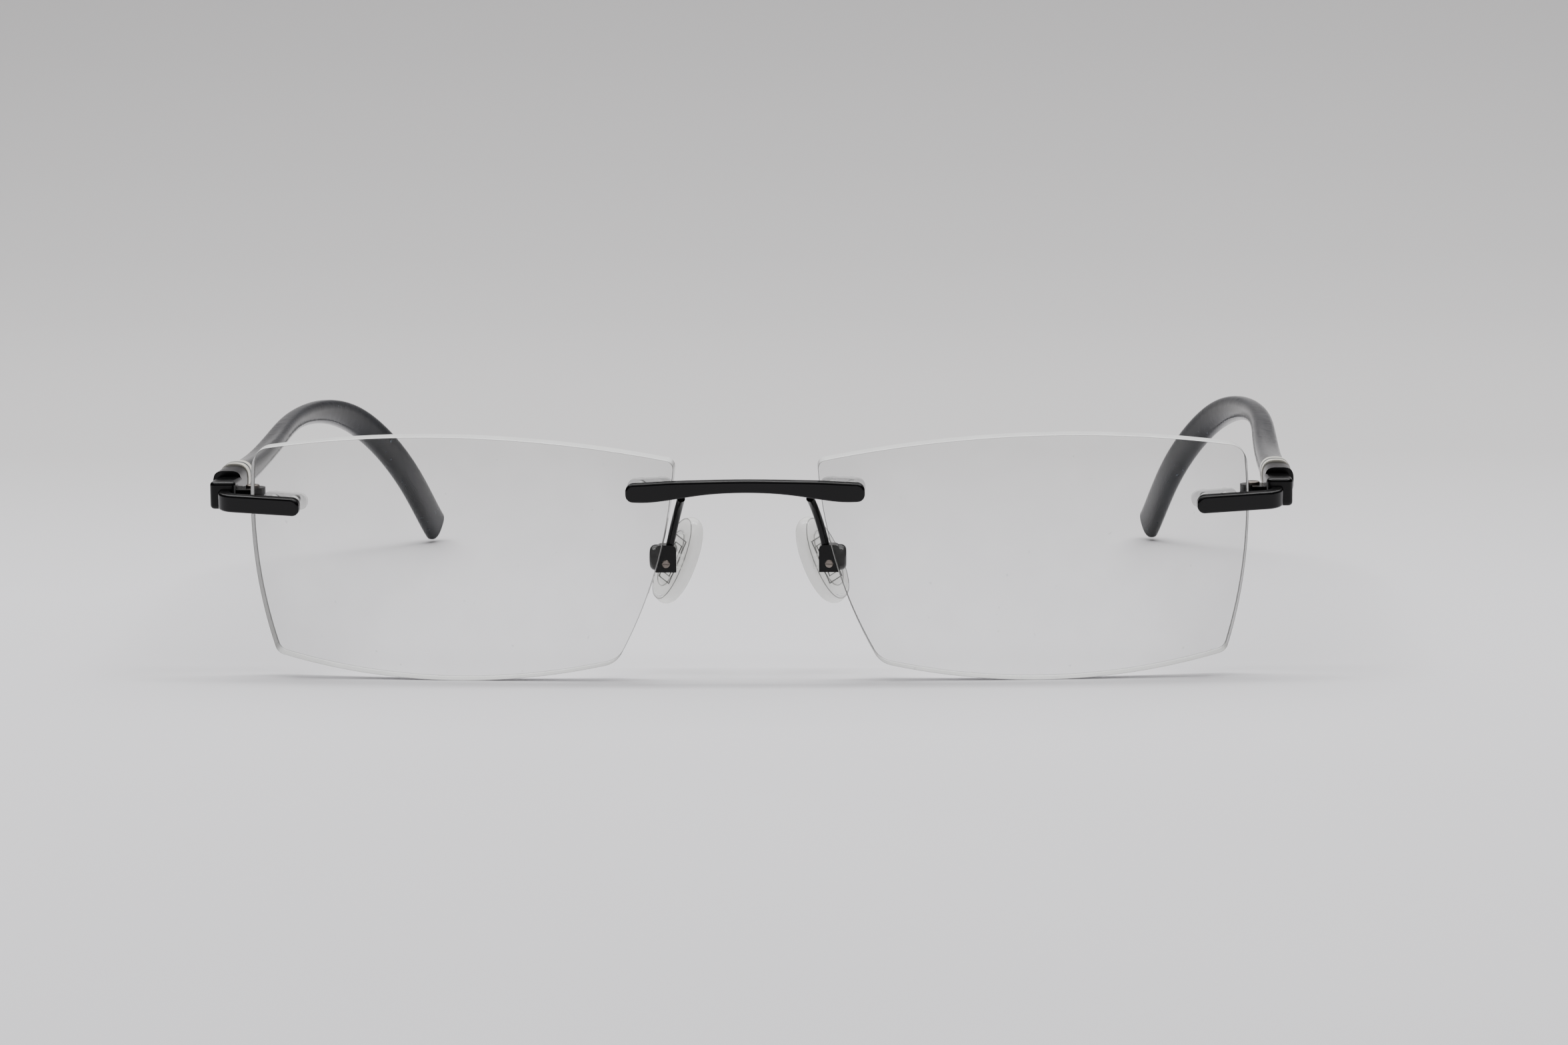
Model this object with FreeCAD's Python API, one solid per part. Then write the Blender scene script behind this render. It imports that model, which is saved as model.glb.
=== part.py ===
# Rimless eyeglasses: two drilled lenses, a bridge and two end pieces held by
# clear compression sleeves, screw hinges, ringed temples and screw-on nose pads.
# Millimetres.  +X wearer's left, +Y from the lenses towards the ears, +Z up.
import FreeCAD, Part
import math
import os

os.makedirs("parts", exist_ok=True)
V = FreeCAD.Vector
X_AXIS = V(1, 0, 0)
Y_AXIS = V(0, 1, 0)
Z_AXIS = V(0, 0, 1)

# ---- driving dimensions ----
nasal_x = 9.0            # half of the distance between the lenses
lens_thick = 2.0
lens_curve = 110.0       # radius of the lens surfaces
lens_mid_x = 36.0        # optical centre
lens_mid_v = 15.0
wrap_deg = 4.0           # each lens turned back from the front plane
lean_deg = 6.0           # top of the lenses leaning forward
lens_set_back = 1.0      # lens centre behind the datum plane

bar_thick = 1.15         # metal bars in front of the lens
bar_height = 2.2
stud_r = 0.45            # studs behind the bars
sleeve_r = 0.75          # clear barrels in the lens holes
plate_thick = 0.9        # clear plate behind the lens
seat_gap = 0.03          # bar to lens

end_v = 21.5             # height of the end-piece bar centre, up the lens
end_in_x = 54.9          # inner end of the end-piece bar
end_hole_x = (56.2, 58.8)
bridge_v = 23.75         # height of the bridge seats, up the lens
bridge_end_x = 14.55
bridge_hole_x = (10.9, 13.2)

block_in_x = 63.5        # hinge block beside the lens
block_out_x = 66.7
block_front_y = 8.6
joint_y = 13.6           # face where the temple meets the block
block_low_z = 20.95
block_top_z = 24.35

hinge_x = 62.1
hinge_y = 13.5
knuckle_r = 1.6
knuckle_z = (20.3, 21.25, 22.15, 23.1)   # bottom, two splits, top
knuckle_gap = 0.05
screw_r = 0.6
running = 0.05
screw_head_r = 0.85

ferrule_end_y = 19.4
ring_y = (19.4, 20.9, 21.5, 23.0)        # ends of the three rings
temple_x = 65.4
temple_z = 23.4
ring_w = 3.7
ring_h = 3.9
core_r = 0.6

pad_swing_z = 14.45       # nose pad screw height
pad_swing_y = 6.45
pad_swing_x = 10.0
pad_len = 11.4
pad_wide = 6.3
pad_thick = 2.4


def arc(a, b, c):
    return Part.Arc(V(*a), V(*b), V(*c)).toShape()


def line(a, b):
    return Part.makeLine(V(*a), V(*b))


def curve(points, closed=False):
    c = Part.BSplineCurve()
    c.interpolate([V(*p) for p in points], PeriodicFlag=closed)
    return c.toShape()


def face(*edges):
    return Part.Face(Part.Wire(Part.__sortEdges__(list(edges))))


def polygon(points):
    pts = [V(*p) for p in points]
    return Part.Face(Part.makePolygon(pts + [pts[0]]))


def cyl(r, base, direction, length):
    return Part.makeCylinder(r, length, V(*base), V(*direction))


def box(x0, x1, y0, y1, z0, z1):
    return Part.makeBox(x1 - x0, y1 - y0, z1 - z0, V(x0, y0, z0))


def soft(shape, radius, keep=lambda e: True):
    """Round the chosen edges, with a smaller radius where a corner refuses."""
    edges = [e for e in shape.Edges if keep(e)]
    for r in (radius, radius * 0.6, radius * 0.35):
        try:
            done = shape.makeFillet(r, edges)
            if done.isValid() and done.Volume > 0 and len(done.Solids) == 1:
                return done.Solids[0]
        except Exception:
            pass
    print("left sharp", len(edges), "edges")
    return shape


def along(e, axis):
    a = e.valueAt(e.FirstParameter)
    b = e.valueAt(e.LastParameter)
    d = b.sub(a)
    return d.Length > 1e-6 and abs(d.dot(axis)) / d.Length > 0.999


def lean(shape):
    s = shape.copy()
    s.rotate(V(0, 0, lens_mid_v), X_AXIS, lean_deg)
    s.translate(V(0, lens_set_back, 0))
    return s


def on_lens(shape):
    s = shape.copy()
    s.rotate(V(nasal_x, 0, 0), Z_AXIS, wrap_deg)
    return lean(s)


def mirror(shape):
    return shape.mirror(V(0, 0, 0), X_AXIS)


def dish(x, v, offset=0.0):
    """Depth of the lens mid surface in its own frame."""
    return ((x - lens_mid_x) ** 2 + (v - lens_mid_v) ** 2) / (2 * lens_curve) + offset


# ---- lens ----
corner_tn = (8.95, 0, 27.1)
corner_tt = (61.05, 0, 28.1)
corner_bt = (58.85, 0, 2.45)
corner_bn = (16.35, 0, 1.95)
outline = [
    arc(corner_tn, (36.5, 0, 30.5), corner_tt),
    arc(corner_tt, (61.25, 0, 15.6), corner_bt),
    arc(corner_bt, (37.2, 0, -0.15), corner_bn),
    arc(corner_bn, (11.45, 0, 13.2), corner_tn),
]
blank = face(*outline).extrude(V(0, 30, 0))
blank.translate(V(0, -10, 0))
corner_radius = ((corner_tn, 1.1), (corner_tt, 2.6), (corner_bt, 1.4), (corner_bn, 3.0))
for corner, r in corner_radius:
    near = [
        e
        for e in blank.Edges
        if along(e, Y_AXIS) and math.hypot(e.valueAt(0).x - corner[0], e.valueAt(0).z - corner[2]) < 0.3
    ]
    blank = blank.makeFillet(r, near)
centre = V(lens_mid_x, lens_curve, lens_mid_v)
outer_ball = Part.makeSphere(lens_curve + lens_thick / 2, centre)
inner_ball = Part.makeSphere(lens_curve - lens_thick / 2, centre)
lens_local = blank.common(outer_ball).cut(inner_ball)
lens_local = max(lens_local.Solids, key=lambda s: -s.BoundBox.YMin)
lens_local = soft(
    lens_local,
    0.15,
    lambda e: e.Length > 1.0 and not along(e, Y_AXIS),
)


def holes(xs, v, r, y0, y1):
    return [cyl(r, (x, y0, v), (0, 1, 0), y1 - y0) for x in xs]


for h in holes(end_hole_x, end_v, sleeve_r, -5, 15) + holes(bridge_hole_x, bridge_v, sleeve_r, -5, 15):
    lens_local = lens_local.cut(h)
lens = on_lens(lens_local)


# ---- clear compression sleeves ----
def sleeve(xs, v, x0, x1, half_h):
    back0 = dish(x0, v + half_h, lens_thick / 2) + 0.06
    back1 = dish(x1, v + half_h, lens_thick / 2) + 0.06
    slope = (back1 - back0) / (x1 - x0)
    front = [(x0, back0, v - half_h), (x1, back1, v - half_h)]
    rear = [(x1, back1 + plate_thick, v - half_h), (x0, back0 + plate_thick, v - half_h)]
    plate = polygon(front + rear).extrude(V(0, 0, 2 * half_h))
    plate = soft(plate, half_h * 0.93, lambda e: along(e, Y_AXIS))
    plate = soft(plate, 0.25, lambda e: e.CenterOfMass.y > back0 + slope * (e.CenterOfMass.x - x0) + plate_thick * 0.8)
    body = plate
    for x in xs:
        y0 = dish(x, v, -lens_thick / 2) + 0.05
        y1 = back0 + slope * (x - x0) + plate_thick * 0.5
        body = body.fuse(cyl(sleeve_r, (x, y0, v), (0, 1, 0), y1 - y0))
        body = body.fuse(cyl(0.95, (x, y1, v), (0, 1, 0), plate_thick * 0.5 + 0.25))
    for x in xs:
        body = body.cut(cyl(stud_r, (x, -5, v), (0, 1, 0), 20))
    return body.removeSplitter()


end_sleeve_local = sleeve(end_hole_x, end_v, 54.55, 60.3, 1.0)
bridge_sleeve_local = sleeve(bridge_hole_x, bridge_v, 9.4, 14.8, 1.0)
end_sleeve = on_lens(end_sleeve_local)
bridge_sleeve = on_lens(bridge_sleeve_local)


# ---- end piece: bar, wrap, hinge block, two hinge knuckles ----
seat_mid = 57.6
seat_slope = (seat_mid - lens_mid_x) / lens_curve


def end_back(x):
    return dish(seat_mid, end_v - bar_height / 2, -lens_thick / 2) + seat_slope * (x - seat_mid) - seat_gap


x_turn = 63.2
outer_x = x_turn + 2.5
bar_plan = [
    (end_in_x, end_back(end_in_x)),
    (x_turn + 1.3, end_back(x_turn + 1.3)),
    (x_turn + 1.3, end_back(x_turn) + 4.2),
    (x_turn + 2.9, end_back(x_turn) + 4.2),
    (outer_x, end_back(outer_x) - bar_thick),
    (end_in_x, end_back(end_in_x) - bar_thick),
]
bar = polygon([(x, y, end_v - bar_height / 2) for x, y in bar_plan]).extrude(V(0, 0, bar_height))
bar = soft(bar, 2.6, lambda e: along(e, Z_AXIS) and abs(e.CenterOfMass.x - outer_x) < 0.01)
bar = soft(
    bar,
    1.8,
    lambda e: along(e, Z_AXIS) and abs(e.CenterOfMass.x - x_turn - 1.3) < 0.01 and e.CenterOfMass.y < 4,
)
bar = soft(bar, 0.95, lambda e: abs(e.CenterOfMass.x - end_in_x) < 0.01 and e.Length < 1.3)
bar = soft(
    bar,
    0.32,
    lambda e: e.Length > 5 and e.CenterOfMass.y < end_back(e.CenterOfMass.x) - 0.6,
)
bar = on_lens(bar)

block = box(block_in_x, block_out_x, block_front_y, joint_y, block_low_z, block_top_z)
block = soft(block, 0.7, lambda e: along(e, Z_AXIS) and e.CenterOfMass.y < joint_y - 1)
for z in (block_low_z, block_top_z):
    block = soft(block, 0.45, lambda e: abs(e.CenterOfMass.z - z) < 0.05 and e.CenterOfMass.y < joint_y - 0.2)


def knuckle(z0, z1):
    return cyl(knuckle_r, (hinge_x, hinge_y, z0), (0, 0, 1), z1 - z0)


kz0, kz1, kz2, kz3 = knuckle_z
arms = [(kz0, kz1 - knuckle_gap), (kz2 + knuckle_gap, kz3)]
endpiece = bar.fuse(block)
leaf_front = hinge_y - 2.9
for z0, z1 in arms:
    endpiece = endpiece.fuse(knuckle(z0, z1))
    endpiece = endpiece.fuse(box(hinge_x - 0.2, block_in_x + 0.3, leaf_front, hinge_y, z0, z1))
web = box(hinge_x - 0.2, block_in_x + 0.3, leaf_front, hinge_y - knuckle_r - 0.25, kz0, kz3)
endpiece = endpiece.fuse(web)
clear_mid = cyl(knuckle_r + 0.2, (hinge_x, hinge_y, kz1 - knuckle_gap), (0, 0, 1), kz2 - kz1 + 2 * knuckle_gap)
endpiece = endpiece.cut(clear_mid)
endpiece = endpiece.cut(cyl(screw_r, (hinge_x, hinge_y, kz0 - 1), (0, 0, 1), kz3 - kz0 + 2))
endpiece = endpiece.cut(cyl(screw_head_r, (hinge_x, hinge_y, kz3 - 0.4), (0, 0, 1), 2))
stud_tip = dish(60.7, end_v, lens_thick / 2) + plate_thick + 0.35
for x in end_hole_x:
    stud = cyl(stud_r, (x, end_back(x) - 0.4, end_v), (0, 1, 0), stud_tip - 0.35 - end_back(x) + 0.4)
    endpiece = endpiece.fuse(on_lens(stud))
endpiece = endpiece.removeSplitter()

# ---- hinge screw ----
head = cyl(screw_head_r, (hinge_x, hinge_y, kz3 - 0.4), (0, 0, 1), 0.75)
head = soft(head, 0.18, lambda e: e.CenterOfMass.z > kz3 + 0.3)
screw = head.fuse(cyl(screw_r, (hinge_x, hinge_y, kz0 - 0.15), (0, 0, 1), kz3 - kz0))
screw = screw.cut(box(hinge_x - 1, hinge_x + 1, hinge_y - 0.12, hinge_y + 0.12, kz3 + 0.13, kz3 + 1))
hinge_screw = screw.removeSplitter()


# ---- bridge ----
bridge_seat = 11.9


def lens_front(x):
    """Lens front in the leaning frame, beside the bridge."""
    turned = (x - nasal_x) * math.tan(math.radians(wrap_deg))
    return turned + dish(x, bridge_v - bar_height / 2, -lens_thick / 2)


seat_tilt = (lens_front(bridge_seat + 1) - lens_front(bridge_seat - 1)) / 2


def bridge_back(x):
    return lens_front(bridge_seat) + seat_tilt * (x - bridge_seat) - seat_gap - 0.03


half_h = bar_height / 2
arch_top = 25.28
arch_low = 23.72
bx = bridge_end_x
top_line = [
    (-bx, bridge_v + half_h),
    (-10.5, bridge_v + half_h + 0.06),
    (-6.5, 25.05),
    (0, arch_top),
    (6.5, 25.05),
    (10.5, bridge_v + half_h + 0.06),
    (bx, bridge_v + half_h),
]
low_line = [
    (-bx, bridge_v - half_h),
    (-9.4, bridge_v - half_h),
    (-5.5, 23.3),
    (0, arch_low),
    (5.5, 23.3),
    (9.4, bridge_v - half_h),
    (bx, bridge_v - half_h),
]
front_view = face(
    curve([(x, 0, v) for x, v in top_line]),
    curve([(x, 0, v) for x, v in low_line]),
    line((-bx, 0, bridge_v - half_h), (-bx, 0, bridge_v + half_h)),
    line((bx, 0, bridge_v - half_h), (bx, 0, bridge_v + half_h)),
)
front_prism = front_view.extrude(V(0, 20, 0))
front_prism.translate(V(0, -8, 0))
plan_back = [(x, bridge_back(x)) for x in (bx, 13.4, 12.2, 11.0, 9.9)] + [(6.0, 2.25), (0, 1.75)]
plan_front = [(x, y - bar_thick - 0.1 * (x < 9)) for x, y in plan_back]


def both_sides(points):
    left = [(-x, y, 0) for x, y in points if x > 0]
    return left + [(x, y, 0) for x, y in reversed(points)]


pb = both_sides(plan_back)
pf = both_sides(plan_front)
plan_view = face(curve(pb), curve(pf), line(pb[0], pf[0]), line(pb[-1], pf[-1]))
bridge = plan_view.extrude(V(0, 0, 40)).common(front_prism)
bridge = bridge.Solids[0]
bridge = soft(bridge, 0.95, lambda e: abs(abs(e.CenterOfMass.x) - bx) < 0.1 and e.Length < 1.6)
bridge = soft(bridge, 0.3, lambda e: e.Length > 3.0)
bridge = lean(bridge)
for x in bridge_hole_x:
    y0 = dish(x, bridge_v, -lens_thick / 2) - 0.55
    y1 = dish(9.4, bridge_v, lens_thick / 2) + plate_thick + 0.1
    stud = on_lens(cyl(stud_r, (x, y0, bridge_v), (0, 1, 0), y1 - y0))
    bridge = bridge.fuse(stud).fuse(mirror(stud))
bridge = bridge.removeSplitter()

# ---- temple ----
rail = [
    (temple_x, ring_y[3], temple_z),
    (66.6, 62.0, 23.9),
    (66.4, 88.0, 24.1),
    (62.3, 107.5, 20.8),
    (56.4, 121.5, 10.2),
    (53.8, 129.8, 2.15),
]
sections_at = {0: (3.3, 3.3), 2: (2.8, 2.9), 3: (2.7, 4.2), 5: (2.4, 4.8)}
rail_curve = Part.BSplineCurve()
rail_curve.interpolate([V(*p) for p in rail], InitialTangent=V(0, 1, 0), FinalTangent=V(-0.3, 0.8, -0.72))


def squircle(at, tangent, w, h, power=2.6):
    """Rounded section standing across the temple."""
    t = tangent.normalize()
    side = t.cross(Z_AXIS).normalize()
    up = side.cross(t).normalize()
    pts = []
    for k in range(16):
        a = 2 * math.pi * k / 16
        c, s = math.cos(a), math.sin(a)
        u = math.copysign(abs(c) ** (2 / power), c) * w / 2
        v = math.copysign(abs(s) ** (2 / power), s) * h / 2
        pts.append(at.add(V(side).multiply(u)).add(V(up).multiply(v)))
    c = Part.BSplineCurve()
    c.interpolate(pts, PeriodicFlag=True)
    return Part.Wire([c.toShape()])


def direction(point):
    return rail_curve.tangent(rail_curve.parameter(V(*point)))[0]


shell = Part.BRepOffsetAPI.MakePipeShell(Part.Wire([rail_curve.toShape()]))
shell.setBiNormalMode(X_AXIS)
for k, (w, h) in sections_at.items():
    shell.add(squircle(V(*rail[k]), direction(rail[k]), w, h), False, False)
shell.build()
shell.makeSolid()
temple = shell.shape().Solids[0]
temple = soft(temple, 0.6, lambda e: e.CenterOfMass.y > 125 and e.Length > 5)

core_curve = rail_curve.copy()
core_curve.segment(rail_curve.FirstParameter, rail_curve.parameter(V(*rail[-2])))
core_circle = Part.Wire([Part.Circle(V(*rail[0]), direction(rail[0]), core_r).toShape()])
core = Part.Wire([core_curve.toShape()]).makePipeShell([core_circle], True, True)
temple = temple.cut(core)


# ---- rings and ferrule, with the hinge's middle knuckle ----
ferrule_front = joint_y + 0.06


def ring_wire(y, w, h, power=2.6):
    return squircle(V(temple_x, y, temple_z), V(0, 1, 0), w, h, power)


def ring(y0, y1, w, h):
    solid = Part.makeLoft([ring_wire(y0, w, h), ring_wire(y1, w, h)], True, True)
    return solid.cut(cyl(core_r, (temple_x, y0 - 1, temple_z), (0, 1, 0), y1 - y0 + 2))


y0, y1, y2, y3 = ring_y
ring_front = ring(y0, y1, ring_w, ring_h)
ring_dark = ring(y1, y2, ring_w + 0.05, ring_h + 0.05)
ring_rear = ring(y2, y3, ring_w, ring_h)
core = core.fuse(cyl(core_r, (temple_x, 17.0, temple_z), (0, 1, 0), y3 - 17.0)).removeSplitter()

start = box(block_in_x + 0.05, block_out_x, ferrule_front, ferrule_front + 0.8, block_low_z, block_top_z)
start = soft(start, 0.5, lambda e: along(e, Y_AXIS))
sleeve_body = Part.makeLoft(
    [ring_wire(ferrule_front + 0.5, 3.5, 3.3, 3.6), ring_wire(ferrule_end_y, 3.5, 3.5, 2.8)], True, True
)
ferrule = start.fuse(sleeve_body)
tongue = box(hinge_x, block_in_x + 0.6, hinge_y, hinge_y + 2.6, kz1 + 0.0, kz2 - 0.0)
tongue = tongue.cut(box(block_in_x - 0.2, block_in_x + 2, hinge_y - 1, ferrule_front, 0, 40))
for z0, z1 in ((kz0 - 1, kz1), (kz2, kz3 + 0.1)):
    ferrule = ferrule.cut(cyl(knuckle_r + 0.12, (hinge_x, hinge_y, z0), (0, 0, 1), z1 - z0))
ferrule = ferrule.fuse(knuckle(kz1, kz2)).fuse(tongue)
ferrule = ferrule.cut(cyl(screw_r + running, (hinge_x, hinge_y, kz1 - 1), (0, 0, 1), 4))
ferrule = ferrule.cut(core)
ferrule = ferrule.removeSplitter()

# ---- pad arm, box, screw, core and nose pad ----
arm_curve = curve([(7.85, 2.4, 22.9), (8.3, 4.2, 21.5), (8.95, 5.7, 19.2), (9.6, 6.2, 16.3)])
arm_section = Part.Wire([Part.Circle(V(7.85, 2.4, 22.9), V(0.4, 1.5, -1.2), 0.5).toShape()])
pad_arm = Part.Wire([arm_curve]).makePipeShell([arm_section], True, True)

px, pz = pad_swing_x, pad_swing_z
pad_box_y = (pad_swing_y - 1.2, pad_swing_y + 1.1)
lug_y = (pad_swing_y - 0.4, pad_swing_y + 0.4)
lug_gap = 0.08
pad_box = box(px - 1.25, px + 1.3, pad_box_y[0], pad_box_y[1], pz - 1.05, pz + 2.3)
pad_box = soft(pad_box, 0.6, lambda e: along(e, Y_AXIS) and e.CenterOfMass.z > pz)
cup = cyl(1.6, (px + 0.4, pad_swing_y + 0.42, pz + 0.6), (1, 0, 0), 1.7)
cup = soft(cup, 0.7, lambda e: e.CenterOfMass.x > px + 1.5)
pad_box = pad_box.fuse(cup)
pad_box = pad_box.cut(box(px - 2, px + 1.0, lug_y[0] - lug_gap, lug_y[1] + lug_gap, pz - 2, pz + 1.3))
pad_box = pad_box.cut(box(px - 2, px - 0.8, lug_y[0], 10, pz - 2, pz + 1.3))
pad_box = pad_box.cut(cyl(0.35, (px, 3, pz), (0, 1, 0), 8))
pad_box = pad_box.cut(cyl(0.5, (px, pad_box_y[0] - 0.5, pz), (0, 1, 0), 0.8))
pad_box = pad_box.removeSplitter()
pad_arm = pad_arm.cut(pad_box)
pad_arm = max(pad_arm.Solids, key=lambda s: s.Volume)
pad_screw = cyl(0.35, (px, pad_box_y[0], pz), (0, 1, 0), 2.4)
pad_screw_head = soft(cyl(0.5, (px, pad_box_y[0] - 0.15, pz), (0, 1, 0), 0.45), 0.12, lambda e: e.CenterOfMass.y < pad_box_y[0] - 0.1)
pad_screw = pad_screw.fuse(pad_screw_head)
pad_screw = pad_screw.cut(box(px - 0.6, px + 0.6, pad_box_y[0] - 0.4, pad_box_y[0], pz - 0.08, pz + 0.08))

# pad frame: long axis up, face normal towards the nose
splay = 30.0
flare = 23.0
pad_centre = V(9.75, 10.6, 14.45)


def on_nose(shape):
    s = shape.copy()
    s.rotate(V(0, 0, 0), Z_AXIS, -splay)
    s.rotate(V(0, 0, 0), Y_AXIS, -flare)
    s.translate(pad_centre)
    return s


# in the pad frame: +X outwards, away from the nose, Y across, Z along
hl, hw = pad_len / 2, pad_wide / 2
pad_outline = [
    (0, 0, hl),
    (0, hw * 0.72, hl * 0.66),
    (0, hw, -hl * 0.1),
    (0, hw * 0.7, -hl * 0.78),
    (0, 0, -hl),
    (0, -hw * 0.7, -hl * 0.78),
    (0, -hw, -hl * 0.1),
    (0, -hw * 0.72, hl * 0.66),
]
pad_face = Part.Face(Part.Wire([curve(pad_outline, True)]))
pad_prism = pad_face.extrude(V(-pad_thick, 0, 0))
nose_pad = soft(pad_prism, 0.9, lambda e: e.Length > 8)
core_plate = Part.Face(
    Part.Wire([curve([(y[0], y[1] * 0.62, y[2] * 0.62) for y in pad_outline], True)])
).extrude(V(-0.8, 0, 0))
core_plate.translate(V(-0.6, 0, 0))
core_local = core_plate
nose_pad = on_nose(nose_pad.cut(core_local))
lug = box(px - 1.9, px + 0.8, lug_y[0], lug_y[1], pz - 0.75, pz + 0.75)
lug = soft(lug, 0.7, lambda e: along(e, Y_AXIS) and e.CenterOfMass.x > px)
pad_stem = box(px - 2.0, px - 1.15, lug_y[0], 9.9, pz - 0.75, pz + 0.75)
pad_core = on_nose(core_local).fuse(pad_stem).fuse(lug)
nose_pad = nose_pad.cut(pad_stem)
pad_core = pad_core.cut(cyl(0.35 + running, (px, lug_y[0] - 1, pz), (0, 1, 0), 3)).removeSplitter()

# ---- write every solid, standing on the floor and centred ----
pair = {
    "lens": lens,
    "endpiece": endpiece,
    "endpiece_sleeve": end_sleeve,
    "bridge_sleeve": bridge_sleeve,
    "hinge_screw": hinge_screw,
    "ferrule": ferrule,
    "ring_front": ring_front,
    "ring_dark": ring_dark,
    "ring_rear": ring_rear,
    "temple": temple,
    "temple_core": core,
    "pad_arm": pad_arm,
    "pad_box": pad_box,
    "pad_screw": pad_screw,
    "pad_core": pad_core,
    "nose_pad": nose_pad,
}
nodes = {"bridge": bridge}
for name, shape in pair.items():
    nodes[name + "_left"] = shape
    nodes[name + "_right"] = mirror(shape)

whole = Part.makeCompound(list(nodes.values())).optimalBoundingBox()
shift = V(0, -(whole.YMin + whole.YMax) / 2, -whole.ZMin)
print("shift", shift.x, shift.y, shift.z, "size", whole.XLength, whole.YLength, whole.ZLength)
for name, shape in nodes.items():
    solids = shape.Solids
    if len(solids) != 1 or not shape.isValid():
        print("CHECK", name, len(solids), shape.isValid())
    out = solids[0].copy()
    out.translate(shift)
    print(name, round(out.Volume, 3))
    out.exportStep("parts/" + name + ".step")
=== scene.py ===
"""Looks for the rimless eyeglasses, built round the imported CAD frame. Metres, same frame as the CAD."""

import math

import bmesh
import bpy
from mathutils import Matrix, Vector


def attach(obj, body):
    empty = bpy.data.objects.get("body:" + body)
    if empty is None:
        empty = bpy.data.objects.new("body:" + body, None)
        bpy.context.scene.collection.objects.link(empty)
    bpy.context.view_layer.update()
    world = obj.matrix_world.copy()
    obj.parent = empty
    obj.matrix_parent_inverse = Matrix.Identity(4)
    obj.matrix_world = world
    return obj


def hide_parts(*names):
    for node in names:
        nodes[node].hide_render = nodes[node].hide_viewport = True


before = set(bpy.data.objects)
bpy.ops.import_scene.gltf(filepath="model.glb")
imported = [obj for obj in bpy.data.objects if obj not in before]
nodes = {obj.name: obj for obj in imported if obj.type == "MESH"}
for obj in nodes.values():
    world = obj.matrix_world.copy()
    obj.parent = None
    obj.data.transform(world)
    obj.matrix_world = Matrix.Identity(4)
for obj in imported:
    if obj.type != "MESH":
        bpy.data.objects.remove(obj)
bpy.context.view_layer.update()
MM = 0.001
SIDES = (("left", 1.0), ("right", -1.0))   # the wearer's sides, and the sign of X
scene = bpy.context.scene

# ---- camera: 100 mm lens in front and a little above ----
IMAGE_WIDTH = 2352
FOCAL_PX = 6533.0
SENSOR_MM = 36.0
CAM_DISTANCE, CAM_SIDE, CAM_HEIGHT = 522.5, -4.75, 90.6   # mm, from the plane of the bridge and the floor
CAM_PITCH, CAM_TURN, CAM_ROLL = 7.67, 2.55, 0.51          # degrees
SHIFT_Y, SHIFT_Z = -65.791, -0.145                        # mm, from the plane of the bridge to the box centre


def make_camera():
    pitch, turn, roll = (math.radians(a) for a in (CAM_PITCH, CAM_TURN, CAM_ROLL))

    def unturn(v):
        c, s = math.cos(turn), math.sin(turn)
        return Vector((c * v.x - s * v.y, s * v.x + c * v.y, v.z))

    side = Vector((1, 0, 0))
    up = Vector((0, math.sin(pitch), math.cos(pitch)))
    ahead = Vector((0, math.cos(pitch), -math.sin(pitch)))
    right = unturn(math.cos(roll) * side - math.sin(roll) * up)
    top = unturn(math.sin(roll) * side + math.cos(roll) * up)
    ahead = unturn(ahead)
    place = unturn(Vector((-CAM_SIDE, -CAM_DISTANCE, CAM_HEIGHT))) + Vector((0, SHIFT_Y, SHIFT_Z))
    cam = bpy.data.cameras.new("camera")
    cam.sensor_width = SENSOR_MM
    cam.lens = FOCAL_PX * cam.sensor_width / IMAGE_WIDTH
    cam.clip_start = 0.01
    obj = bpy.data.objects.new("camera", cam)
    scene.collection.objects.link(obj)
    m = Matrix((right, top, -ahead)).transposed().to_4x4()
    m.translation = place * MM
    obj.matrix_world = m
    scene.camera = obj


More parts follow.
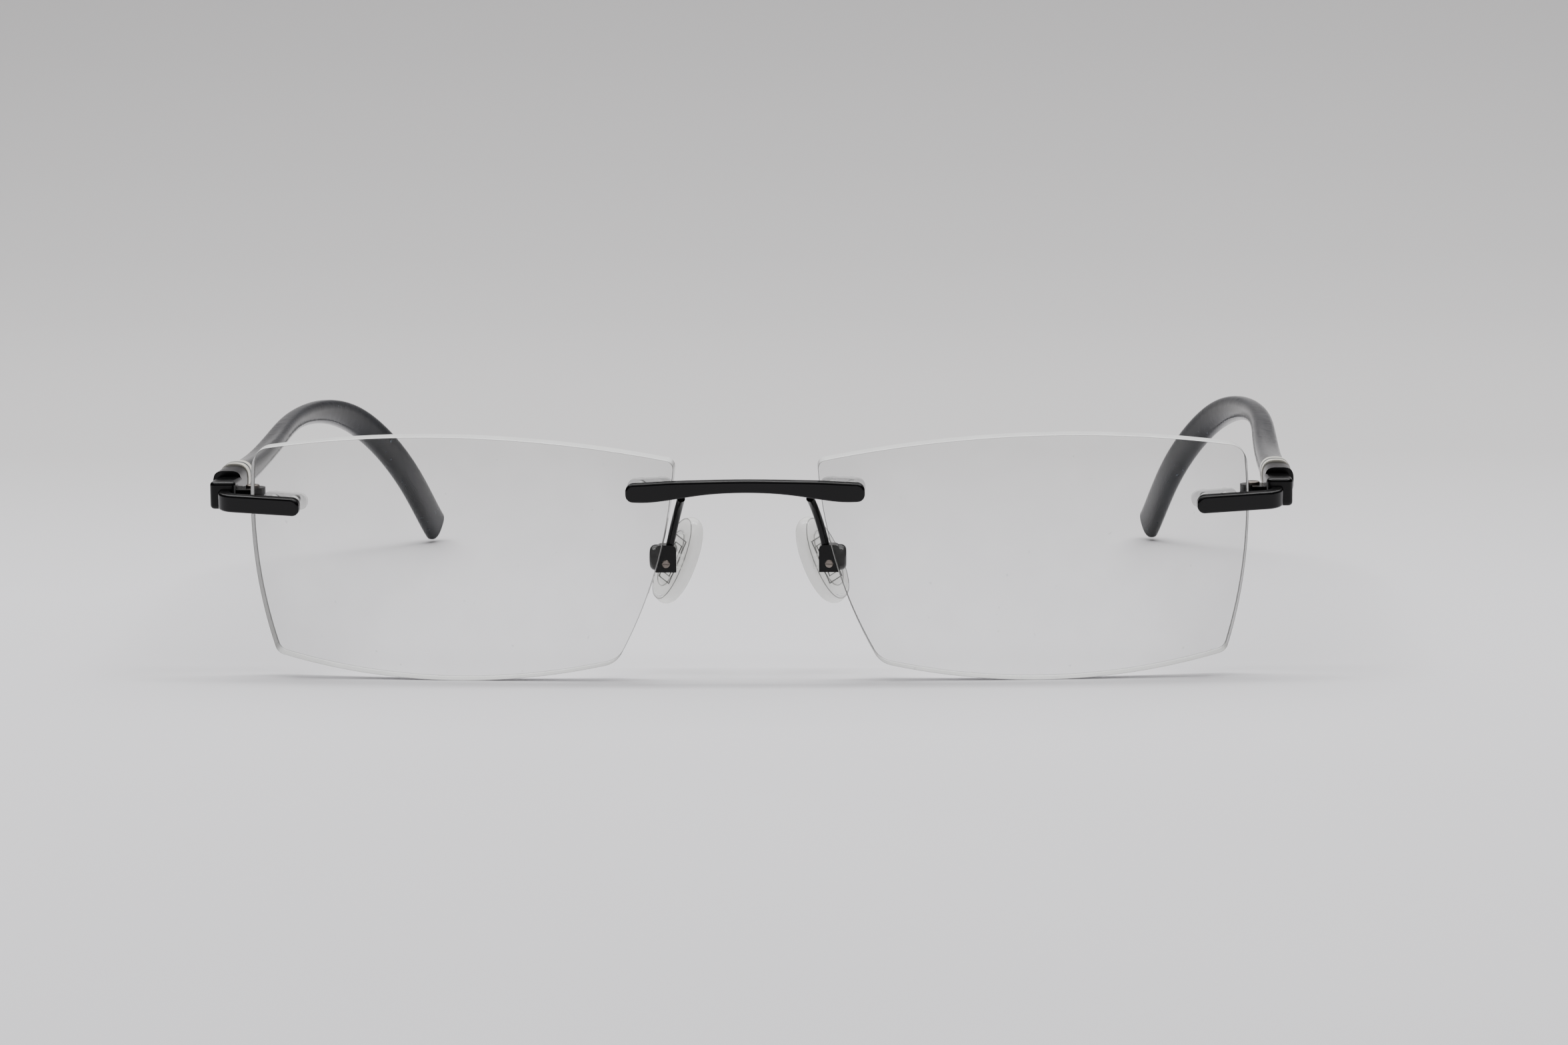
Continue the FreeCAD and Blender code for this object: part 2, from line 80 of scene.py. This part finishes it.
# ---- node helpers ----
class Mat:
    """A material and short ways to add nodes to it."""

    def __init__(self, name):
        self.mat = bpy.data.materials.new(name)
        self.mat.use_nodes = True
        self.tree = self.mat.node_tree
        self.bsdf = self.tree.nodes["Principled BSDF"]
        self.out = self.tree.nodes["Material Output"]
        self.coord = self.tree.nodes.new("ShaderNodeTexCoord").outputs["Object"]

    def node(self, kind, **values):
        n = self.tree.nodes.new(kind)
        for k, v in values.items():
            setattr(n, k, v)
        return n

    def link(self, a, b):
        self.tree.links.new(a, b)

    def set(self, **values):
        for k, v in values.items():
            self.bsdf.inputs[k.replace("_", " ")].default_value = v

    def noise(self, scale, detail=3.0, rough=0.5, stretch=None):
        n = self.node("ShaderNodeTexNoise")
        n.inputs["Scale"].default_value = scale
        n.inputs["Detail"].default_value = detail
        n.inputs["Roughness"].default_value = rough
        if stretch:
            m = self.node("ShaderNodeMapping")
            m.inputs["Scale"].default_value = stretch
            self.link(self.coord, m.inputs["Vector"])
            self.link(m.outputs["Vector"], n.inputs["Vector"])
        else:
            self.link(self.coord, n.inputs["Vector"])
        return n.outputs[0]

    def ramp(self, value, stops):
        """stops are (place, grey or colour)."""
        r = self.node("ShaderNodeValToRGB")
        el = r.color_ramp.elements
        while len(el) < len(stops):
            el.new(0.5)
        for e, (at, c) in zip(el, stops):
            e.position = at
            e.color = (c, c, c, 1) if isinstance(c, float) else (*c, 1)
        self.link(value, r.inputs["Fac"])
        return r.outputs["Color"]

    def math(self, op, a, b=0.0):
        n = self.node("ShaderNodeMath", operation=op)
        for socket, v in zip(n.inputs, (a, b)):
            if isinstance(v, (int, float)):
                socket.default_value = v
            else:
                self.link(v, socket)
        return n.outputs[0]

    def mix(self, fac, a, b):
        n = self.node("ShaderNodeMix", data_type="RGBA")
        self.link(fac, n.inputs["Factor"])
        for socket, v in ((n.inputs[6], a), (n.inputs[7], b)):
            if isinstance(v, tuple):
                socket.default_value = (*v, 1)
            else:
                self.link(v, socket)
        return n.outputs[2]

    def bump(self, height, strength, distance):
        n = self.node("ShaderNodeBump")
        n.inputs["Strength"].default_value = strength
        n.inputs["Distance"].default_value = distance
        self.link(height, n.inputs["Height"])
        self.link(n.outputs["Normal"], self.bsdf.inputs["Normal"])

    def feed(self, socket, value):
        self.link(value, self.bsdf.inputs[socket])


def black_metal():
    m = Mat("black_metal")
    m.set(IOR=1.5, Specular_IOR_Level=0.2)
    grain = m.noise(2600, 4)
    cloud = m.noise(190, 3)
    m.feed("Base Color", m.ramp(cloud, [(0.3, (0.0012, 0.0012, 0.0013)), (0.75, (0.0022, 0.0022, 0.0024))]))
    m.feed("Roughness", m.ramp(grain, [(0.3, 0.17), (0.7, 0.23)]))
    m.bump(grain, 0.012, 0.00001)
    return m.mat


def black_acetate():
    """Blue-black and glossy, with specks of dust and scratches along the temple."""
    m = Mat("black_acetate")
    m.set(IOR=1.49, Specular_IOR_Level=0.2)
    speck = m.noise(1500, 2, 0.6)
    dust = m.ramp(speck, [(0.68, 0.0), (0.74, 1.0)])
    cloud = m.noise(120, 4)
    base = m.ramp(cloud, [(0.3, (0.003, 0.0035, 0.005)), (0.75, (0.007, 0.009, 0.013))])
    m.feed("Base Color", m.mix(m.math("MULTIPLY", dust, 0.35), base, (0.16, 0.19, 0.23)))
    scratch = m.noise(420, 5, 0.65, stretch=(1.0, 0.12, 1.0))
    m.feed("Roughness", m.ramp(scratch, [(0.35, 0.1), (0.7, 0.2)]))
    m.bump(scratch, 0.06, 0.00003)
    return m.mat


def ring_plastic(name, low, high):
    m = Mat(name)
    m.set(IOR=1.49, Coat_Weight=0.4, Coat_Roughness=0.06)
    cloud = m.noise(500, 4, 0.6)
    m.feed("Base Color", m.ramp(cloud, [(0.3, low), (0.7, high)]))
    m.feed("Roughness", m.ramp(m.noise(1800, 3), [(0.3, 0.25), (0.7, 0.38)]))
    return m.mat


def dull_steel():
    m = Mat("dull_steel")
    m.set(Metallic=1.0)
    cloud = m.noise(900, 4, 0.6)
    m.feed("Base Color", m.ramp(cloud, [(0.3, (0.13, 0.11, 0.10)), (0.7, (0.32, 0.28, 0.25))]))
    m.feed("Roughness", m.ramp(cloud, [(0.3, 0.3), (0.7, 0.5)]))
    m.bump(m.noise(3000, 2), 0.08, 0.00002)
    return m.mat


RIM_PAINTED_SHADE_GREY = (0.20, 0.20, 0.19)   # painted shade on the upright edges of a lens; edges facing up or down keep the pale colour as painted light


def see_through(name, tint, face, rough, milk, axis=None, edge=0.0, dust=0.0):
    """Clear plastic. face is how much of it shows, and milk its darkest and palest colour.
    A lens also has axis, its thin direction, edge, how much its rim shows, and dust on it."""
    m = Mat(name)
    m.set(IOR=1.5, Roughness=rough, Coat_Weight=0.3, Coat_Roughness=0.03)
    clear = m.node("ShaderNodeBsdfTransparent")
    clear.inputs["Color"].default_value = (*tint, 1)
    mix = m.node("ShaderNodeMixShader")
    m.link(clear.outputs[0], mix.inputs[1])
    m.link(m.bsdf.outputs[0], mix.inputs[2])
    m.link(mix.outputs[0], m.out.inputs["Surface"])
    # Painted reflection: the surface turns more solid at grazing angles, which shows its pale base colour in place
    # of a mirrored sheen.
    slant = m.node("ShaderNodeLayerWeight")
    slant.inputs["Blend"].default_value = 0.5
    gloss = m.math("MULTIPLY", m.math("POWER", slant.outputs["Facing"], 4.0), 0.6)
    amount = m.math("ADD", gloss, face + 0.028)
    if axis is not None:
        geo = m.node("ShaderNodeNewGeometry")
        dot = m.node("ShaderNodeVectorMath", operation="DOT_PRODUCT")
        m.link(geo.outputs["Normal"], dot.inputs[0])
        dot.inputs[1].default_value = axis
        flat = m.math("ABSOLUTE", dot.outputs["Value"])
        side = m.ramp(flat, [(0.72, edge), (0.985, 0.0)])
        amount = m.math("ADD", amount, side)
        # how much each face turns up or down, for the painted light and shade on the lens rims
        part = m.node("ShaderNodeSeparateXYZ")
        m.link(geo.outputs["Normal"], part.inputs[0])
        faces_up_for_painted_light = m.math("ABSOLUTE", part.outputs["Z"])
    if dust:
        speck = m.ramp(m.noise(1100, 2, 0.55), [(0.735, 0.0), (0.76, 1.0)])
        amount = m.math("ADD", amount, m.math("MULTIPLY", speck, dust))
    cloud = m.noise(260, 3)
    colour = m.ramp(cloud, [(0.3, milk[0]), (0.7, milk[1])])
    # Lens rims: grey where they stand upright and pale where they face up or down, painted shade and painted
    # highlight from the lamp above.
    if axis is not None:
        colour = m.mix(m.ramp(faces_up_for_painted_light, [(0.25, 0.0), (0.75, 1.0)]), RIM_PAINTED_SHADE_GREY, colour)
    m.feed("Base Color", colour)
    amount = m.math("ADD", amount, m.math("MULTIPLY", cloud, 0.06))
    m.link(m.math("MINIMUM", amount, 1.0), mix.inputs["Fac"])
    return m.mat


def pale_floor():
    """Paler under the glasses, with painted shade darkening it where it rises behind them."""
    m = Mat("pale_sheet")
    m.set(Roughness=0.75, IOR=1.3)
    cloud = m.noise(6, 3)
    near = m.ramp(cloud, [(0.3, (0.645, 0.635, 0.655)), (0.7, (0.675, 0.665, 0.685))])
    part = m.node("ShaderNodeSeparateXYZ")
    m.link(m.coord, part.inputs[0])
    # painted shade: the sheet is coloured darker the further back it lies, where it rises behind the glasses
    depth = m.math("MULTIPLY", m.math("ADD", part.outputs["Y"], -0.01), 6.0)
    backdrop_painted_shade = m.ramp(depth, [(0.0, 0.0), (1.0, 1.0)])
    m.feed("Base Color", m.mix(backdrop_painted_shade, near, (0.52, 0.508, 0.51)))
    return m.mat


def paint(name, mat):
    o = nodes[name]
    for slot in o.material_slots:
        slot.material = mat
    if not o.material_slots:
        o.data.materials.append(mat)


# ---- nose pads, in mm ----
PAD_LONG, PAD_WIDE = 11.4, 6.3
PAD_AT = (9.75, 10.6, 14.45)
PAD_SPLAY, PAD_FLARE = -30.0, -23.0   # degrees
PAD_AROUND = 72                       # points round the cushion
RIBBON_STEPS = 80
FRAME_OFF_CENTRE = -0.4               # frames sit towards the front edge
# (share of the outline, depth from the outer face), from the middle of the outer face to that of the nose side
PAD_PROFILE = (
    (0.0, -0.05), (0.3, -0.05), (0.5, -0.05), (0.545, -0.07), (0.565, -0.24), (0.6, -0.26), (0.635, -0.22),
    (0.66, -0.03), (0.7, 0.0), (0.8, -0.02), (0.88, -0.1), (0.95, -0.36), (0.99, -0.75), (1.0, -1.1),
    (0.985, -1.5), (0.94, -1.9), (0.85, -2.2), (0.68, -2.36), (0.4, -2.42), (0.0, -2.43),
)


def pad_outline(t):
    """Egg outline of the pad, wider towards its lower end: (across, along) at turn t from the top."""
    c, s = math.cos(t), math.sin(t)
    across = math.copysign(abs(s) ** 0.9, s) * PAD_WIDE / 2 * (1.0 - 0.07 * c)
    return across, math.copysign(abs(c) ** 0.96, c) * PAD_LONG / 2


def pad_place(side, x, y, z):
    """From the pad's own frame (x away from the nose, y across, z along) to the row frame."""
    flare = Matrix.Rotation(math.radians(PAD_FLARE), 3, "Y")
    splay = Matrix.Rotation(math.radians(PAD_SPLAY), 3, "Z")
    turn = flare @ splay
    v = turn @ Vector((x, y, z)) + Vector(PAD_AT) + Vector((0, SHIFT_Y, SHIFT_Z))
    return Vector((side * v.x, v.y, v.z)) * MM


def as_object(name, bm, mat, smooth=True):
    bmesh.ops.recalc_face_normals(bm, faces=bm.faces)
    mesh = bpy.data.meshes.new(name)
    bm.to_mesh(mesh)
    bm.free()
    for p in mesh.polygons:
        p.use_smooth = smooth
    o = bpy.data.objects.new(name, mesh)
    scene.collection.objects.link(o)
    mesh.materials.append(mat)
    return o


def pad_cushion(name, s, mat):
    """Clear cushion with a thin round rim, a domed nose side and a groove round the insert."""
    bm = bmesh.new()
    rows = []
    for f, x in PAD_PROFILE:
        if f == 0.0:
            rows.append([bm.verts.new(pad_place(s, x, 0, 0))])
            continue
        row = []
        for k in range(PAD_AROUND):
            y, z = pad_outline(2 * math.pi * k / PAD_AROUND)
            row.append(bm.verts.new(pad_place(s, x, y * f, z * f)))
        rows.append(row)
    for a, b in zip(rows, rows[1:]):
        for k in range(PAD_AROUND):
            j = (k + 1) % PAD_AROUND
            if len(a) == 1:
                bm.faces.new((a[0], b[k], b[j]))
            elif len(b) == 1:
                bm.faces.new((a[k], b[0], a[j]))
            else:
                bm.faces.new((a[k], b[k], b[j], a[j]))
    return as_object(name, bm, mat)


def pad_frames(name, s, mat):
    """Two raised rectangles, one inside the other, on the outer face of the insert."""
    bm = bmesh.new()
    for half_y, half_z, line in ((1.6, 2.9, 0.17), (0.95, 2.1, 0.14)):
        loops = []
        for x, grow in ((-0.08, 0.0), (0.03, 0.25 * line), (0.03, 0.75 * line), (-0.08, line)):
            corners = []
            for y, z in ((-1, -1), (1, -1), (1, 1), (-1, 1)):
                across = y * (half_y - grow) + FRAME_OFF_CENTRE
                corners.append(bm.verts.new(pad_place(s, x, across, z * (half_z - grow))))
            loops.append(corners)
        for a, b in zip(loops, loops[1:]):
            for k in range(4):
                j = (k + 1) % 4
                bm.faces.new((a[k], a[j], b[j], b[k]))
    return as_object(name, bm, mat, False)


def pad_ribbon(name, s, mat, fit, depth, line, first=0.0, last=1.0):
    """A thin raised line that follows the pad outline, shrunk to fit, over a part of the way round."""
    bm = bmesh.new()
    rows = []
    for k in range(RIBBON_STEPS + 1):
        y, z = pad_outline(2 * math.pi * (first + (last - first) * k / RIBBON_STEPS))
        size = math.hypot(y, z)
        ends = 1.0
        if last - first < 1:
            ends = min(1.0, 6.0 * k / RIBBON_STEPS, 6.0 * (RIBBON_STEPS - k) / RIBBON_STEPS)
        row = []
        for lift, move in ((-0.06, -0.5), (0.03, -0.25), (0.03, 0.25), (-0.06, 0.5)):
            f = fit + move * line * ends / size
            row.append(bm.verts.new(pad_place(s, depth + lift, y * f, z * f)))
        rows.append(row)
    for a, b in zip(rows, rows[1:]):
        for k in range(3):
            bm.faces.new((a[k], a[k + 1], b[k + 1], b[k]))
    return as_object(name, bm, mat)


# ---- stage ----
def make_stage():
    """A sheet that lies flat and then bends up behind the glasses."""
    front, back, wide, rise, bend = -1.2, 1.7, 1.2, 1.6, 1.25
    bm = bmesh.new()
    profile = [(front, 0.0), (back - bend, 0.0)]
    steps = 16
    for k in range(1, steps + 1):
        a = k * math.pi / 2 / steps
        profile.append((back - bend + bend * math.sin(a), bend * (1 - math.cos(a))))
    profile.append((back, rise))
    rows = [[bm.verts.new((x, y, z)) for x in (-wide, wide)] for y, z in profile]
    for a, b in zip(rows, rows[1:]):
        bm.faces.new((a[0], a[1], b[1], b[0]))
    mesh = bpy.data.meshes.new("floor")
    bm.to_mesh(mesh)
    for p in mesh.polygons:
        p.use_smooth = True
    floor = bpy.data.objects.new("floor", mesh)
    scene.collection.objects.link(floor)
    floor.data.materials.append(pale_floor())


def add_area(name, place, aim, size, power):
    light = bpy.data.lights.new(name, "AREA")
    light.shape = "RECTANGLE"
    light.size, light.size_y = size
    light.energy = power
    o = bpy.data.objects.new(name, light)
    scene.collection.objects.link(o)
    o.location = place
    o.rotation_euler = (Vector(aim) - Vector(place)).to_track_quat("-Z", "Y").to_euler()


def make_light():
    """A pale backdrop that casts little light, so that black stays black, with a large soft light above,
    a narrow one that draws the bright line along the bars, and a weaker one in front."""
    world = bpy.data.worlds.new("world")
    scene.world = world
    world.use_nodes = True
    tree = world.node_tree
    seen = tree.nodes["Background"]
    seen.inputs["Color"].default_value = (0.60, 0.60, 0.62, 1)
    seen.inputs["Strength"].default_value = 1.0
    glow = tree.nodes.new("ShaderNodeBackground")
    glow.inputs["Color"].default_value = (0.92, 0.94, 1.0, 1)
    glow.inputs["Strength"].default_value = 0.07
    path = tree.nodes.new("ShaderNodeLightPath")
    mix = tree.nodes.new("ShaderNodeMixShader")
    tree.links.new(path.outputs["Is Camera Ray"], mix.inputs["Fac"])
    tree.links.new(glow.outputs[0], mix.inputs[1])
    tree.links.new(seen.outputs[0], mix.inputs[2])
    tree.links.new(mix.outputs[0], tree.nodes["World Output"].inputs["Surface"])
    add_area("overhead", (0.0, 0.34, 0.9), (0, 0.0, 0), (1.5, 0.9), 15.0)
    add_area("strip", (0.0, -0.02, 0.9), (0, -0.05, 0), (1.2, 0.12), 8.0)
    add_area("front_high", (0.0, -0.9, 1.3), (0, 0, 0.0), (1.6, 0.5), 8.0)


make_camera()
make_stage()
make_light()

metal = black_metal()
acetate = black_acetate()
cream = ring_plastic("cream_acetate", (0.62, 0.60, 0.52), (0.74, 0.72, 0.64))
blue = ring_plastic("blue_acetate", (0.012, 0.022, 0.035), (0.02, 0.035, 0.055))
steel = dull_steel()
sleeve_clear = see_through("sleeve_clear", (0.95, 0.95, 0.95), 0.26, 0.06, ((0.80, 0.80, 0.79), (0.9, 0.9, 0.89)))
pad_clear = see_through("pad_clear", (0.965, 0.965, 0.955), 0.3, 0.06, ((0.80, 0.80, 0.77), (0.95, 0.95, 0.92)))
insert_clear = see_through("insert_clear", (0.985, 0.985, 0.98), 0.03, 0.1, ((0.84, 0.84, 0.82), (0.94, 0.94, 0.92)))
# Painted shade: the raised frames on the clear insert are coloured dark grey for the way light bends at their edges.
insert_edge_shade = see_through("insert_edge_shade", (0.7, 0.7, 0.69), 0.75, 0.15, ((0.05, 0.05, 0.05), (0.16, 0.16, 0.155)))
# Painted shade: grey lines laid in the groove round the insert and along the crease of the rim.
pad_shade_line = see_through("pad_shade_line", (0.8, 0.8, 0.79), 0.6, 0.12, ((0.16, 0.16, 0.155), (0.34, 0.34, 0.33)))
# Painted highlight: a near-white, mostly solid material for the glint at the lower end of each pad.
glint = see_through("pad_glint", (0.99, 0.99, 0.99), 0.75, 0.05, ((0.95, 0.95, 0.94), (1.0, 1.0, 1.0)))
LENS_TINT, LENS_MILK = (0.985, 0.985, 0.985), ((0.86, 0.86, 0.85), (0.95, 0.95, 0.94))
WRAP, LEAN = math.radians(4.0), math.radians(6.0)   # how each lens is turned
for side, s in SIDES:
    axis = Vector((-s * math.sin(WRAP), math.cos(WRAP) * math.cos(LEAN), math.sin(LEAN)))
    lens = see_through(f"lens_clear_{side}", LENS_TINT, 0.005, 0.12, LENS_MILK, axis, edge=0.88, dust=0.12)
    paint(f"lens_{side}", lens)
    for n in ("endpiece", "ferrule", "pad_arm", "pad_box"):
        paint(f"{n}_{side}", metal)
    for n in ("endpiece_sleeve", "bridge_sleeve"):
        paint(f"{n}_{side}", sleeve_clear)
    for n in ("hinge_screw", "pad_screw", "temple_core"):
        paint(f"{n}_{side}", steel)
    for n in ("ring_front", "ring_rear"):
        paint(f"{n}_{side}", cream)
    paint(f"ring_dark_{side}", blue)
    paint(f"temple_{side}", acetate)
    paint(f"nose_pad_{side}", pad_clear)
    paint(f"pad_core_{side}", insert_clear)
    cushion = pad_cushion(f"pad_cushion_{side}", s, pad_clear)
    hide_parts(f"nose_pad_{side}")
    frames = pad_frames(f"pad_frames_{side}", s, insert_edge_shade)
    # painted shade lines in the groove round the insert and on the rim crease
    step = pad_ribbon(f"pad_step_{side}", s, pad_shade_line, 0.635, 0.02, 0.14)
    crease = pad_ribbon(f"pad_crease_{side}", s, pad_shade_line, 0.93, -0.17, 0.13)
    # painted highlight: a pale crescent near the lower end of the pad
    shine = pad_ribbon(f"pad_shine_{side}", s, glint, 0.87, -0.06, 0.34, 0.4, 0.58)
    for piece, slot in (
        (cushion, "pad_clear"),
        (frames, "pad_insert"),
        (step, "pad_clear"),
        (crease, "pad_clear"),
        (shine, "pad_clear"),
    ):
        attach(piece, f"pad_{side}")
paint("bridge", metal)
